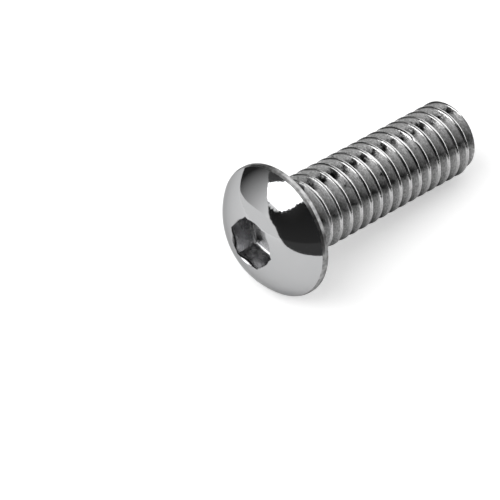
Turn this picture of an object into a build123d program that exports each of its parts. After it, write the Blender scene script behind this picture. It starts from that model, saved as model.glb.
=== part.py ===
from build123d import *
import math
import os

# Button head socket screw, 5/16 inch with 18 threads to the inch, 1 inch long under the head.
# Millimetres. The screw is modelled upright about the Z axis, with the underside of the head
# at Z = 0 and the head above it, and is laid down on the ground as the last step.

# Driving sizes of the thread
INCH = 25.4
THREADS_PER_INCH = 18
MAJOR_DIAMETER = 7.92
THREAD_HEIGHT_RATIO = 0.61343
FLANK_ANGLE = 30.0
CREST_RATIO = 1 / 8
THREAD_TURN = -90.0

# Driving sizes of the shank
SHANK_LENGTH = 25.4
TIP_DIAMETER = 5.3
TIP_CHAMFER_ANGLE = 42.0
NECK_DIAMETER = 7.0
NECK_LENGTH = 1.15
RUN_OUT_ANGLE = 35.0
FILLET_RADIUS = 0.6

# Driving sizes of the head
HEAD_DIAMETER = 13.7
HEAD_HEIGHT = 4.1
RIM_HEIGHT = 0.62
RIM_CHAMFER = 0.12

# Driving sizes of the hexagon socket
SOCKET_ACROSS_FLATS = 4.8
SOCKET_DEPTH = 3.05
SOCKET_BEVEL = 0.22
FLOOR_LEDGE = 0.1
FLOOR_ANGLE = 15.0
MOUTH_DIAMETER = 5.16
MOUTH_ANGLE = 45.0
SOCKET_TURN = 22.5

# Clearances of the shapes that trim the metal, and the depth of the stem inside the neck
TRIM_CLEARANCE = 0.4
STEM_CLEARANCE = 0.05
SPARE_TURNS = 1

pitch = INCH / THREADS_PER_INCH
major_radius = MAJOR_DIAMETER / 2
thread_depth = THREAD_HEIGHT_RATIO * pitch
root_radius = major_radius - thread_depth
crest_width = CREST_RATIO * pitch
head_radius = HEAD_DIAMETER / 2
neck_radius = NECK_DIAMETER / 2
tip_radius = TIP_DIAMETER / 2


def tan_deg(angle):
    return math.tan(math.radians(angle))


def helix_turn(radius, height):
    """One turn of a right-handed helix about the Z axis that starts at the given height."""
    return Edge.make_helix(pitch, pitch, radius, center=(0, 0, height), normal=(0, 0, 1))


def threaded_rod(low, turns):
    """A solid rod with a 60 degree thread, each turn made of four helical bands.

    The bands run from groove floor to flank to crest to flank. Neighbouring bands and
    neighbouring turns share their edges, and a helicoid and a flat section close each end.
    """
    half_crest = crest_width / 2
    half_floor = pitch / 2 - half_crest - thread_depth * tan_deg(FLANK_ANGLE)
    profile = [
        (root_radius, -half_floor),
        (root_radius, half_floor),
        (major_radius, pitch / 2 - half_crest),
        (major_radius, pitch / 2 + half_crest),
        (root_radius, pitch - half_floor),
    ]
    helices = {}
    for turn in range(turns + 1):
        for corner in range(4):
            radius, rise = profile[corner]
            helices[turn, corner] = helix_turn(radius, low + turn * pitch + rise)
    faces = []
    for turn in range(turns):
        for corner in range(3):
            faces.append(Face.make_surface_from_curves(helices[turn, corner], helices[turn, corner + 1]))
        faces.append(Face.make_surface_from_curves(helices[turn, 3], helices[turn + 1, 0]))
    for turn in (0, turns):
        start = low + turn * pitch - half_floor
        axis_edge = Edge.make_line((0, 0, start), (0, 0, start + pitch))
        faces.append(Face.make_surface_from_curves(axis_edge, helices[turn, 0]))
        section = [Vector(0, 0, start)]
        for radius, rise in profile:
            section.append(Vector(radius, 0, low + turn * pitch + rise))
        section.append(Vector(0, 0, start + pitch))
        faces.append(Face(Wire.make_polygon(section, close=True)))
    return Solid(Shell(faces))


def revolved(points):
    """A solid of revolution about the Z axis from (radius, height) points."""
    outline = Wire.make_polygon([Vector(radius, 0, height) for radius, height in points], close=True)
    return Solid.revolve(Face(outline), 360, Axis.Z)


def line(start, end):
    """A straight outline edge between two (radius, height) points."""
    return Edge.make_line((start[0], 0, start[1]), (end[0], 0, end[1]))


# Threaded shank: the rod trimmed by a chamfered tip and by a cone where the thread fades out
turns = math.ceil(SHANK_LENGTH / pitch) + 2 * SPARE_TURNS
rod = threaded_rod(-SHANK_LENGTH - SPARE_TURNS * pitch, turns)
rod = rod.rotate(Axis.Z, THREAD_TURN)
clear_radius = major_radius + TRIM_CLEARANCE
stem_radius = min(root_radius, neck_radius) - STEM_CLEARANCE
stem_top = -NECK_LENGTH / 2
tip_rise = (clear_radius - tip_radius) * tan_deg(TIP_CHAMFER_ANGLE)
run_out = (clear_radius - stem_radius) * tan_deg(RUN_OUT_ANGLE)
envelope = revolved([
    (0, -SHANK_LENGTH),
    (tip_radius, -SHANK_LENGTH),
    (clear_radius, -SHANK_LENGTH + tip_rise),
    (clear_radius, -NECK_LENGTH - run_out),
    (stem_radius, -NECK_LENGTH),
    (stem_radius, stem_top),
    (0, stem_top),
])
shank = rod & envelope

# Head and neck in one turned outline: the neck tapers into the groove floor of the first turn,
# a fillet leads to the flat underside, and the low rim with its broken corners carries the dome
neck_foot = -NECK_LENGTH - pitch / 2
corner_radius = head_radius - RIM_CHAMFER
dome_rise = HEAD_HEIGHT - RIM_HEIGHT
dome_radius = (head_radius ** 2 + dome_rise ** 2) / (2 * dome_rise)
dome_centre = HEAD_HEIGHT - dome_radius
corner_height = dome_centre + math.sqrt(dome_radius ** 2 - corner_radius ** 2)
half_angle = math.asin(corner_radius / dome_radius) / 2
dome_middle = (dome_radius * math.sin(half_angle), 0, dome_centre + dome_radius * math.cos(half_angle))
fillet_poles = [
    (neck_radius, 0, -FILLET_RADIUS),
    (neck_radius, 0, 0),
    (neck_radius + FILLET_RADIUS, 0, 0),
]
head_outline = Wire([
    line((0, neck_foot), (stem_radius, neck_foot)),
    line((stem_radius, neck_foot), (neck_radius, -NECK_LENGTH)),
    line((neck_radius, -NECK_LENGTH), (neck_radius, -FILLET_RADIUS)),
    Edge.make_bezier(*fillet_poles, weights=[1, math.sqrt(0.5), 1]),
    line((neck_radius + FILLET_RADIUS, 0), (corner_radius, 0)),
    line((corner_radius, 0), (head_radius, RIM_CHAMFER)),
    line((head_radius, RIM_CHAMFER), (head_radius, RIM_HEIGHT - RIM_CHAMFER)),
    line((head_radius, RIM_HEIGHT - RIM_CHAMFER), (corner_radius, corner_height)),
    Edge.make_three_point_arc((corner_radius, 0, corner_height), dome_middle, (0, 0, HEAD_HEIGHT)),
    line((0, HEAD_HEIGHT), (0, neck_foot)),
])
head = Solid.revolve(Face(head_outline), 360, Axis.Z)

# Socket: hexagon pocket with a bevelled edge round its shallow conical floor
flat_radius = SOCKET_ACROSS_FLATS / 2
pocket_floor = HEAD_HEIGHT - SOCKET_DEPTH
with BuildPart() as pocket_build:
    with BuildSketch(Plane.XY.offset(pocket_floor)):
        RegularPolygon(flat_radius, 6, major_radius=False, rotation=SOCKET_TURN)
    extrude(amount=SOCKET_DEPTH + TRIM_CLEARANCE)
    chamfer(pocket_build.faces().sort_by(Axis.Z)[0].edges(), SOCKET_BEVEL)
pocket = pocket_build.part
floor_radius = flat_radius - SOCKET_BEVEL - FLOOR_LEDGE
floor_cone = revolved([
    (0, pocket_floor - floor_radius * tan_deg(FLOOR_ANGLE)),
    (floor_radius, pocket_floor),
    (floor_radius, pocket_floor + TRIM_CLEARANCE),
    (0, pocket_floor + TRIM_CLEARANCE),
])
mouth_radius = MOUTH_DIAMETER / 2
mouth_height = dome_centre + math.sqrt(dome_radius ** 2 - mouth_radius ** 2)
mouth_bottom = flat_radius - TRIM_CLEARANCE
mouth_top = mouth_radius + TRIM_CLEARANCE
mouth_cone = revolved([
    (0, mouth_height - (mouth_radius - mouth_bottom) * tan_deg(MOUTH_ANGLE)),
    (mouth_bottom, mouth_height - (mouth_radius - mouth_bottom) * tan_deg(MOUTH_ANGLE)),
    (mouth_top, mouth_height + (mouth_top - mouth_radius) * tan_deg(MOUTH_ANGLE)),
    (0, mouth_height + (mouth_top - mouth_radius) * tan_deg(MOUTH_ANGLE)),
])
head = head - pocket
head = head - floor_cone
head = head - mouth_cone

screw = (head + shank).solids()[0]

# Lying at rest: the rim of the head and the thread crest near the tip both touch the ground
crest_start = -SHANK_LENGTH + (major_radius - tip_radius) * tan_deg(TIP_CHAMFER_ANGLE)
crest_phase = -SHANK_LENGTH + pitch * (0.5 + (180 - THREAD_TURN) / 360)
crests_above = math.ceil((crest_start - crest_phase - crest_width / 2) / pitch)
crest_rest = max(crest_phase + crests_above * pitch - crest_width / 2, crest_start)
tilt = math.degrees(math.atan2(head_radius - major_radius, RIM_CHAMFER - crest_rest))
screw = screw.rotate(Axis.Y, tilt - 90)
box = screw.bounding_box()
shift = Vector(-(box.min.X + box.max.X) / 2, -(box.min.Y + box.max.Y) / 2, -box.min.Z)
screw = screw.translate(shift)
screw.label = "button_head_screw"

os.makedirs("parts", exist_ok=True)
export_step(screw, "parts/button_head_screw.step")

print("tilt of the axis", round(tilt, 4), "degrees; centre of the underside", [round(v, 4) for v in shift])
print("size", [round(v, 3) for v in box.size], "mm; volume", round(screw.volume, 2), "cubic mm")
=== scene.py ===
# %% [markdown]
# # A button head screw, lying on white paper
#
# The object is one steel screw with bright chrome plating: a low dome with a hexagon socket, and
# a shank with a thread that runs from just under the head to a bevelled tip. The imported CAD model
# is loaded first and stays the measure for everything. The dressed screw is worked out as
# surfaces in the screw's own axes, in millimetres, and is laid down in the same place as the CAD
# solid at the end.

# %% The frame
import math

import bmesh
import bpy
import numpy as np
from mathutils import Matrix, Vector


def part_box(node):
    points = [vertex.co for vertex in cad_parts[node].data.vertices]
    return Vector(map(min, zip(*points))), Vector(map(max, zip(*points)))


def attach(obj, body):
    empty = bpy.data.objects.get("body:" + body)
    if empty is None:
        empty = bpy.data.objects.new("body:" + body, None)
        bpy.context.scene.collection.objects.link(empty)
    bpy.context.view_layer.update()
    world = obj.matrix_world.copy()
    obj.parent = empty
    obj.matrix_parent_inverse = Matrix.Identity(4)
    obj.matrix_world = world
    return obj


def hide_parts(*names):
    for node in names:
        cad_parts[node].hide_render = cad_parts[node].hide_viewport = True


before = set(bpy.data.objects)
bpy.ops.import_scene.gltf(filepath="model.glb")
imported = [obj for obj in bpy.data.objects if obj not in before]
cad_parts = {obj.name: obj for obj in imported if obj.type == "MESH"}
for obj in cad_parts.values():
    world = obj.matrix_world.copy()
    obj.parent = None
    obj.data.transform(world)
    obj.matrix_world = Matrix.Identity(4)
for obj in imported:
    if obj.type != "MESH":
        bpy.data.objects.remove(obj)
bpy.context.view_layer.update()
cad_low, cad_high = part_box("button_head_screw")
print("CAD box in mm", [round(v * 1000, 3) for v in cad_low], [round(v * 1000, 3) for v in cad_high])

# %% [markdown]
# ## Sizes
#
# The screw is a 5/16 inch size with 18 threads to the inch, 1 inch long under the head. The
# screw's own axes have Z along the shank, with the flat underside of the head at Z = 0 and the
# head above it, so every height below is a distance from that underside. The values are those
# of the solid, and the dressed surfaces only round its edges a little, as plating does.

# %% Sizes of the screw, in millimetres and degrees
PITCH = 25.4 / 18
MAJOR_RADIUS = 3.96
THREAD_DEPTH = 0.61343 * PITCH
ROOT_RADIUS = MAJOR_RADIUS - THREAD_DEPTH
HALF_CREST = PITCH / 16
HALF_FLOOR = PITCH / 2 - HALF_CREST - THREAD_DEPTH * math.tan(math.radians(30))
THREAD_TURN = math.radians(-90)
SHANK_LENGTH = 25.4
TIP_RADIUS = 2.65
TIP_SLOPE = math.tan(math.radians(42))
NECK_RADIUS = 3.5
NECK_LENGTH = 1.15
RUN_OUT_SLOPE = math.tan(math.radians(35))
STEM_RADIUS = ROOT_RADIUS - 0.05
FILLET_RADIUS = 0.6
HEAD_RADIUS = 6.85
HEAD_HEIGHT = 4.1
RIM_HEIGHT = 0.62
RIM_CHAMFER = 0.12
FLAT_RADIUS = 2.4
SOCKET_DEPTH = 3.05
SOCKET_BEVEL = 0.22
FLOOR_RADIUS = 2.08
FLOOR_SLOPE = math.tan(math.radians(15))
MOUTH_RADIUS = 2.58
SOCKET_TURN = math.radians(22.5)

DOME_RISE = HEAD_HEIGHT - RIM_HEIGHT
DOME_RADIUS = (HEAD_RADIUS ** 2 + DOME_RISE ** 2) / (2 * DOME_RISE)
DOME_CENTRE = HEAD_HEIGHT - DOME_RADIUS
POCKET_FLOOR = HEAD_HEIGHT - SOCKET_DEPTH
print("pitch", round(PITCH, 4), "root radius", round(ROOT_RADIUS, 3), "dome radius", round(DOME_RADIUS, 3))

# %% [markdown]
# ## A helper for smooth edges
#
# No edge of a plated part is truly sharp: a thin round catches the light and draws the bright
# lines that tell the eye that this is metal. Each profile is therefore a row of corners, and one
# function cuts every corner short and puts a few points of an arc in its place. That could be a
# Bevel modifier, but a profile that is round from the start keeps its rows where they are wanted.

# %% Rounding the corners of a profile
SIDE_SHARE = 0.45


def rounded(corners, radii, steps=4):
    """Points of a profile whose corners are arcs.

    At each corner the arc touches both sides at the distance radius * tan(turn / 2), where turn
    is the angle by which the profile changes direction, but takes no more than SIDE_SHARE of
    either side. Its points follow a quadratic Bezier curve with the corner as its middle pole.
    """
    corners = np.asarray(corners, float)
    points = [corners[:1]]
    t = np.linspace(0, 1, steps + 1)[:, None]
    for before, corner, after, radius in zip(corners[:-2], corners[1:-1], corners[2:], radii):
        back, on = before - corner, after - corner
        back_length, on_length = np.linalg.norm(back), np.linalg.norm(on)
        turn = math.pi - math.acos(np.clip(back @ on / back_length / on_length, -1, 1))
        reach = min(radius * math.tan(turn / 2), SIDE_SHARE * back_length, SIDE_SHARE * on_length)
        start, end = corner + back / back_length * reach, corner + on / on_length * reach
        points.append((1 - t) ** 2 * start + 2 * t * (1 - t) * corner + t ** 2 * end)
    points.append(corners[-1:])
    return np.vstack(points)


print("a right angle with a round of 1 mm:", rounded([(0, 0), (4, 0), (4, 4)], [1], steps=2).tolist())

# %% [markdown]
# ## The head
#
# The real head is formed cold in a die: a shallow spherical dome, a low upright rim and a flat
# underside with a small fillet at the neck. It could be spun with a Screw modifier, but the
# socket would then need a boolean cut. Here the whole head is one sheet instead: its rows go
# from the neck over the underside, rim and dome into the socket and down to the socket's floor,
# and its columns go round the axis. Each row may change its radius with the angle, which is how
# the round mouth becomes a hexagon without any cut.

# %% The rows that are the same all round: neck, underside and rim
FILLET_POINTS = 9
NECK_ROUND = 0.2
RIM_ROUNDS = [0.15, 0.15, 0.12, 0.2]
POINTS_PER_CORNER = 6
DOME_FOOT_IN = 0.3
DOME_FOOT_UP = 0.35


def dome_height(radius):
    """Height of the dome over a radius: the sphere's centre plus the side of a right triangle."""
    return DOME_CENTRE + np.sqrt(DOME_RADIUS ** 2 - radius ** 2)


neck_foot = -NECK_LENGTH - PITCH / 2
corner_radius = HEAD_RADIUS - RIM_CHAMFER
corner_height = dome_height(corner_radius)
quarter = np.linspace(math.pi / 2, 0, FILLET_POINTS)[:, None]
fillet = np.hstack([
    NECK_RADIUS + FILLET_RADIUS - FILLET_RADIUS * np.sin(quarter),
    -FILLET_RADIUS + FILLET_RADIUS * np.cos(quarter),
])
neck_corner = rounded([
    (STEM_RADIUS, neck_foot), (NECK_RADIUS, -NECK_LENGTH), (NECK_RADIUS, -FILLET_RADIUS),
], [NECK_ROUND])[1:-1]
neck_rows = np.vstack([[(0, neck_foot), (STEM_RADIUS, neck_foot)], neck_corner, fillet])
rim_rows = rounded([
    (NECK_RADIUS + FILLET_RADIUS, 0),
    (corner_radius, 0),
    (HEAD_RADIUS, RIM_CHAMFER),
    (HEAD_RADIUS, RIM_HEIGHT - RIM_CHAMFER),
    (corner_radius, corner_height),
    (corner_radius - DOME_FOOT_IN, corner_height + DOME_FOOT_UP),
], RIM_ROUNDS, steps=POINTS_PER_CORNER - 1)[1:-1]
print("rows below the dome", len(neck_rows) + len(rim_rows))

# %% [markdown]
# ### From the round mouth to the hexagon
#
# The wall of a hexagon lies nearest to the axis in the middle of each flat and farthest at the
# corners, by one over the cosine of the angle from the middle. The mouth is a small cone, as a
# countersink cuts it, so it is round where it is wider than the hexagon. At the corners, where it
# isn't, the wall comes straight up to the dome. The greater of the two radii says both.
#
# Every edge from here to the floor is eased: its rows lie a share of EDGE_ROUND or BEVEL_EASE
# to either side of the sharp edge.

# %% The columns, and the edges of mouth and wall in each of them
HEAD_COLUMNS = 240
around = SOCKET_TURN + np.arange(HEAD_COLUMNS) * 2 * math.pi / HEAD_COLUMNS
sector = np.mod(around - SOCKET_TURN, math.pi / 3) - math.pi / 6
wall_radius = FLAT_RADIUS / np.cos(sector)
mouth_edge = np.maximum(MOUTH_RADIUS, wall_radius)
cone_width = mouth_edge - wall_radius
mouth_top = dome_height(mouth_edge)
lip = mouth_top - cone_width
wall_low = POCKET_FLOOR + SOCKET_BEVEL
print("hexagon from", round(wall_radius.min(), 3), "to", round(wall_radius.max(), 3), "mm from the axis")

# %% The rows that change with the angle: dome, mouth, socket walls and floor
DOME_ROWS = 33
WALL_ROWS = 6
EDGE_ROUND = 0.045
BEVEL_EASE = 0.01
FLOOR_SHARES = [0.98, 0.7, 0.45, 0.2, 0.08, 0.0]
dome_start = rim_rows[-1, 0]
dome_steps = np.linspace(0, 1, DOME_ROWS + 1)[1:, None]
dome_radii = dome_start + dome_steps * (mouth_edge + EDGE_ROUND - dome_start)
on_cone = np.minimum(0.4 * EDGE_ROUND, cone_width / 3)
wall_top = lip - 1.5 * EDGE_ROUND
wall_steps = np.linspace(0, 1, WALL_ROWS + 1)[1:, None]
wall_heights = (1 - wall_steps) * wall_top + wall_steps * (wall_low + 3 * BEVEL_EASE)
rows = [(radius, dome_height(radius)) for radius in dome_radii]
rows += [
    (mouth_edge + 0.3 * EDGE_ROUND, mouth_top - 0.12 * EDGE_ROUND),
    (mouth_edge - on_cone, mouth_top - on_cone - 0.2 * EDGE_ROUND),
    (wall_radius + on_cone, lip + on_cone - 0.2 * EDGE_ROUND),
    (wall_radius, lip - 0.6 * EDGE_ROUND),
    (wall_radius, wall_top),
]
rows += [(wall_radius, height) for height in wall_heights]
rows += [
    (wall_radius - BEVEL_EASE, wall_low),
    (wall_radius - SOCKET_BEVEL + BEVEL_EASE, POCKET_FLOOR + 1.2 * BEVEL_EASE),
    (wall_radius - SOCKET_BEVEL - 1.5 * BEVEL_EASE, POCKET_FLOOR),
    (FLOOR_RADIUS + 2 * BEVEL_EASE, POCKET_FLOOR),
]
rows += [
    (share * FLOOR_RADIUS, POCKET_FLOOR - (1 - share) * FLOOR_RADIUS * FLOOR_SLOPE)
    for share in FLOOR_SHARES
]
head_rows = [*neck_rows, *rim_rows, *rows]
head_radii = np.array([np.broadcast_to(radius, HEAD_COLUMNS) for radius, height in head_rows])
head_heights = np.array([np.broadcast_to(height, HEAD_COLUMNS) for radius, height in head_rows])
socket_start = len(neck_rows) + len(rim_rows) + DOME_ROWS + 1
print("head sheet", head_radii.shape, "socket from row", socket_start)

# %% [markdown]
# ## A helper that turns a sheet into faces
#
# A sheet of rows and columns becomes quads by index arithmetic on whole arrays: each quad joins
# a point to its neighbour in the row, and both to the points of the row after it. The first
# column follows the last one, so the sheet closes round the axis.

# %% Faces of a sheet that closes round the axis
def sheet_faces(row_count, column_count):
    """Quads between neighbouring rows, the last column joined to the first, and each quad's row."""
    row, column = np.meshgrid(np.arange(row_count - 1), np.arange(column_count), indexing="ij")
    after = (column + 1) % column_count
    quads = np.stack([
        row * column_count + column,
        row * column_count + after,
        (row + 1) * column_count + after,
        (row + 1) * column_count + column,
    ], axis=-1)
    return quads.reshape(-1, 4), row.reshape(-1)


head_points = np.stack([head_radii * np.cos(around), head_radii * np.sin(around), head_heights], axis=-1)
head_quads, head_face_rows = sheet_faces(*head_radii.shape)
print("head faces", len(head_quads))

# %% [markdown]
# ## The thread
#
# A rolled thread is pressed between dies, so its grooves have round roots and its crests are
# narrow flats that the dies burnish. It could be made with a Screw modifier from one profile,
# but then the bevelled tip and the run-out under the head would need cuts. Here the thread is
# one long sheet again: a column for each 3 degrees of the helix and a row for each point of the
# profile, and after one turn the last row meets the first row of the next turn.

# %% The columns of the thread, along the helix from one pitch below the tip
TURN_COLUMNS = 120
turns = math.ceil((SHANK_LENGTH - NECK_LENGTH) / PITCH) + 2
helix_steps = np.arange(turns * TURN_COLUMNS + 1)
helix_angle = helix_steps * 2 * math.pi / TURN_COLUMNS
base = -SHANK_LENGTH - PITCH + PITCH * helix_angle / (2 * math.pi)
thread_angle = helix_angle + THREAD_TURN
print("turns", turns, "columns", len(helix_steps))

# %% [markdown]
# The bevel at the tip and the cone of the run-out only make the radius smaller: each point takes
# the lesser of its own radius and that of the cone at its height. So that the edge between
# thread and cone is a clean line, the middle point of every straight run slides along the run to
# the place where the cone crosses it.

# %% The two cones, and where a run of the profile meets them
def tip_cone(height):
    """Radius of the tip's bevel: the tip's radius plus the height above the tip over the slope."""
    return TIP_RADIUS + (height + SHANK_LENGTH) / TIP_SLOPE


def cone_radius(height):
    """Radius of the tip's bevel or of the run-out cone at a height, whichever is less."""
    run_out = STEM_RADIUS + (-NECK_LENGTH - height) / RUN_OUT_SLOPE
    return np.minimum(tip_cone(height), run_out)


def crossing(start, end):
    """Share of the run from start to end at which a cone crosses it, or one half if none does.

    The gap between the run and the cone changes evenly along the run, so the share is the gap
    at the start divided by how much the gap changes.
    """
    gap_start = start[0] - cone_radius(base + start[1])
    gap_end = end[0] - cone_radius(base + end[1])
    crosses = gap_start * gap_end < 0
    return np.where(crosses, gap_start / np.where(crosses, gap_start - gap_end, 1), 0.5)


print("radius of the cones at both ends", cone_radius(np.array([-SHANK_LENGTH, -NECK_LENGTH])).round(3))

# %% [markdown]
# The profile of one pitch has four corners: two at the groove's floor and two at the crest. The
# round of each is given by how far it reaches along its two sides. The crest's corner on the
# side of the head reaches farthest, because there the photograph shows a soft shoulder, on which
# the light fades gently towards the groove. The two lists of reaches hold, for each corner, the
# one along the side before it and the one along the side after it. A run or a round is burnished
# where its shine is 1: the crest, and the rounds on both sides of it.

# %% The corners of one pitch and the reach of their rounds, in millimetres
ROOT_REACH = 0.09
CREST_REACH = 0.05
SHOULDER_REACH = 0.24
thread_corners = np.array([
    (ROOT_RADIUS, -HALF_FLOOR),
    (ROOT_RADIUS, HALF_FLOOR),
    (MAJOR_RADIUS, PITCH / 2 - HALF_CREST),
    (MAJOR_RADIUS, PITCH / 2 + HALF_CREST),
    (ROOT_RADIUS, PITCH - HALF_FLOOR),
    (ROOT_RADIUS, PITCH + HALF_FLOOR),
])
reach_before = [ROOT_REACH, ROOT_REACH, ROOT_REACH, CREST_REACH, ROOT_REACH]
reach_after = [ROOT_REACH, ROOT_REACH, CREST_REACH, SHOULDER_REACH, ROOT_REACH]
run_points = [2, 4, 2, 4]
arc_points = [5, 5, 7, 5]
run_shine = [0.0, 0.0, 1.0, 0.0]
arc_shine = [0.0, 1.0, 1.0, 0.0]
print("points in one pitch", sum(run_points) + sum(arc_points))

# %% The long sheet of the thread: floor, flank, crest, flank, each with the round after it
SHARE_KEPT_AT_ENDS = 0.04
sheet_rows = []
for index in range(4):
    start, end, after = thread_corners[index:index + 3]
    length = np.linalg.norm(end - start)
    first, last = reach_after[index] / length, 1 - reach_before[index + 1] / length
    middle = np.clip(crossing(start, end), first + SHARE_KEPT_AT_ENDS, last - SHARE_KEPT_AT_ENDS)
    shares = [np.full(len(base), first), (first + middle) / 2, middle, (middle + last) / 2]
    for share in shares[::4 // run_points[index]]:
        radius = start[0] + share * (end[0] - start[0])
        sheet_rows.append((radius, base + start[1] + share * (end[1] - start[1]), run_shine[index]))
    arc_start = start + last * (end - start)
    arc_end = end + (after - end) / np.linalg.norm(after - end) * reach_after[index + 1]
    for t in np.linspace(0, 1, arc_points[index] + 1)[:-1]:
        bend = (1 - t) ** 2 * arc_start + 2 * t * (1 - t) * end + t ** 2 * arc_end
        sheet_rows.append((np.full(len(base), bend[0]), base + bend[1], arc_shine[index]))
thread_radii = np.array([radius for radius, height, shine in sheet_rows])
thread_heights = np.array([height for radius, height, shine in sheet_rows])
burnish_and_shade = np.array([[shine] for radius, height, shine in sheet_rows])
print("thread sheet", thread_radii.shape)

# %% [markdown]
# ## Wear and painted shade on the thread
#
# What tells a real thread from a drawn one is that no turn is like the next. The traces below
# are laid over the sheet as whole arrays. Their strength often depends on the place round the
# screw, given as an angle from its top as it lies, in degrees, negative on the side that the
# photograph shows, and a few pairs of an angle and a value say how. Their unevenness is a sum
# of sine waves that don't fit into a turn a whole number of times, so no turn is like the one
# beside it. Noise would do as well, but a few waves need no table and no random numbers.

# %% Helpers for what changes round the screw and along the helix
CREST_BAND = 0.2
from_top = np.degrees(np.arctan2(np.sin(thread_angle), np.cos(thread_angle)))


def by_angle(pairs):
    """Value at each column, in a straight line between the (angle from the top, value) pairs."""
    angles, values = zip(*pairs)
    return np.interp(from_top, angles, values)


def waves(angle, terms):
    """Sum of size * sin(pace * angle + start) over the (size, pace, start) terms."""
    return sum(size * np.sin(angle * pace + start) for size, pace, start in terms)


# The dents are pressed into the crests alone: 1 at a crest, 0 from CREST_BAND mm below it
on_crest = np.clip((thread_radii - MAJOR_RADIUS + CREST_BAND) / CREST_BAND, 0, 1)
print("share of the sheet that is crest", round(float(on_crest.mean()), 3))

# %% [markdown]
# ### The seam beside each crest
#
# Rolling pushes the steel up from both sides of a crest, and where the two flows meet a fine
# seam stays open, which plating doesn't fill. Together with a painted shade it draws the thin
# dark line that follows every bright crest in the photograph. A dark stripe in the finish could
# stand for it, but a groove also catches the light on its sides, so it is both: a groove a few
# hundredths of a millimetre deep, with the section of a bell curve, and a dark stripe of painted
# shade in the colour. It is strongest on the upper part of the side that the photograph shows,
# hardly shows low on that side, and is wider near the tip.

# %% The seam and its painted shade, in millimetres, with places along the helix in radians from its start
SEAM_PAST_CREST = 0.10
SEAM_WIDTH = 0.058
SEAM_DEPTH = 0.035
SEAM_DRIFT = [(0.012, 1.7, 0), (0.008, 5.3, 1)]
SEAM_MEAN = 0.85
SEAM_CHANGE = [(0.1, 0.83, 1), (0.1, 4.1, 0)]
# How strong the seam's groove and its painted shade are round the screw, by the angle from the top
SEAM_AND_SHADE_BY_ANGLE = [(-180, 0.2), (-76, 0.1), (-60, 1.0), (-50, 1.25), (-25, 1.2), (0, 0.9), (180, 0.8)]
NEAR_TIP = [25, 65]
NEAR_TIP_BY_ANGLE = [(-38, 1), (-22, 0)]
TIP_SEAM_SHIFT = 0.015
TIP_SEAM_WIDER = 0.027
near_tip = np.interp(helix_angle, NEAR_TIP, [1, 0]) * by_angle(NEAR_TIP_BY_ANGLE)
seam_drift = waves(helix_angle, SEAM_DRIFT) + TIP_SEAM_SHIFT * near_tip
seam_place = base + PITCH / 2 + SEAM_PAST_CREST + seam_drift
seam_and_shade_strength = (SEAM_MEAN + waves(helix_angle, SEAM_CHANGE)) * by_angle(SEAM_AND_SHADE_BY_ANGLE)
seam_width = SEAM_WIDTH + TIP_SEAM_WIDER * near_tip
# One bell curve gives both the depth of the groove and the painted shade of the dark line
seam_and_painted_shade = seam_and_shade_strength * np.exp(-((thread_heights - seam_place) / seam_width) ** 2)
thread_radii = thread_radii - SEAM_DEPTH * seam_and_painted_shade * on_crest
print("deepest seam in mm", round(float((SEAM_DEPTH * seam_and_painted_shade * on_crest).max()), 4))

# %% [markdown]
# ### The nick and the uneven crests
#
# The photograph shows one crest with a nick near the tip: the bright line of the crest stops,
# and the metal is pushed a little to one side. It could be sculpted by hand. Here it is a dent
# that fades out like a bell curve round one place on the helix, with a kink in the crest's line,
# so it stays on the crest whatever the sizes. All crests also wander by a hundredth of a
# millimetre, because no rolled crest is filled evenly. The waves are shifted inwards by the sum
# of their sizes, so that no crest stands out past the solid's.

# %% The nick and the wander, in millimetres, and the nick's place on the helix in radians
NICK_ANGLE = 38.88
NICK_WIDTH = 0.26
NICK_DEPTH = 0.17
NICK_SHIFT = 0.10
KINK_STEP = 0.12
KINK_LENGTH = 2.5
KINK_SHIFT = 0.06
WANDER = [(0.006, 2.3, 1), (0.005, 7.1, 0), (0.003, 17.7, 2)]
WANDER_BELOW = sum(size for size, pace, start in WANDER)
past_nick = (helix_angle - NICK_ANGLE) * MAJOR_RADIUS
nick = np.exp(-(past_nick / NICK_WIDTH) ** 2)
kink = np.tanh(past_nick / KINK_STEP) * np.exp(-(past_nick / KINK_LENGTH) ** 2)
thread_radii = thread_radii - NICK_DEPTH * nick * on_crest
thread_heights = thread_heights + (NICK_SHIFT * nick - KINK_SHIFT * kink) * on_crest
thread_radii = thread_radii + (waves(helix_angle, WANDER) - WANDER_BELOW) * on_crest
print("nick at turn", round(NICK_ANGLE / (2 * math.pi), 2), "of the helix")

# %% [markdown]
# ### Burnish, painted shade and painted reflections
#
# The crests are brightest where the dies rubbed them, and less so low on the sides, where the
# photograph shows them dull: there they are rougher and their colour is painted darker, a
# painted shade. Two rows of painted dark reflection run along the screw: dark spots along its
# top, and a dark band low on the flanks that face the camera. Each is a bell curve over the
# angle, and the finish breaks it up into spots.

# %% How bright, how shaded and how dark in painted reflection each point is
# Low on the camera's side the crests are rougher and their colour is painted darker: a painted shade
BURNISH_AND_SHADE_BY_ANGLE = [(-180, 1.0), (-125, 0.3), (-92, 0.42), (-70, 1.0), (180, 1.0)]
BEVEL_BURNISH = 0.8
TOP_REFLECTION_AT, TOP_REFLECTION_WIDTH = -3, 10
LOW_REFLECTION_AT, LOW_REFLECTION_WIDTH = -66, 8
on_bevel = thread_radii > tip_cone(thread_heights)
burnish_and_shade = np.where(on_bevel, BEVEL_BURNISH, burnish_and_shade * by_angle(BURNISH_AND_SHADE_BY_ANGLE))
# A band of painted dark reflection along the top of the screw as it lies
top_painted_reflection_band = np.exp(-((from_top - TOP_REFLECTION_AT) / TOP_REFLECTION_WIDTH) ** 2)
# A band of painted dark reflection low on the flanks that face the camera
low_painted_reflection = np.exp(-((from_top - LOW_REFLECTION_AT) / LOW_REFLECTION_WIDTH) ** 2) * (1 - np.clip(burnish_and_shade, 0, 1))
print("share of the sheet on the tip's bevel", round(float(on_bevel.mean()), 3))

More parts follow.
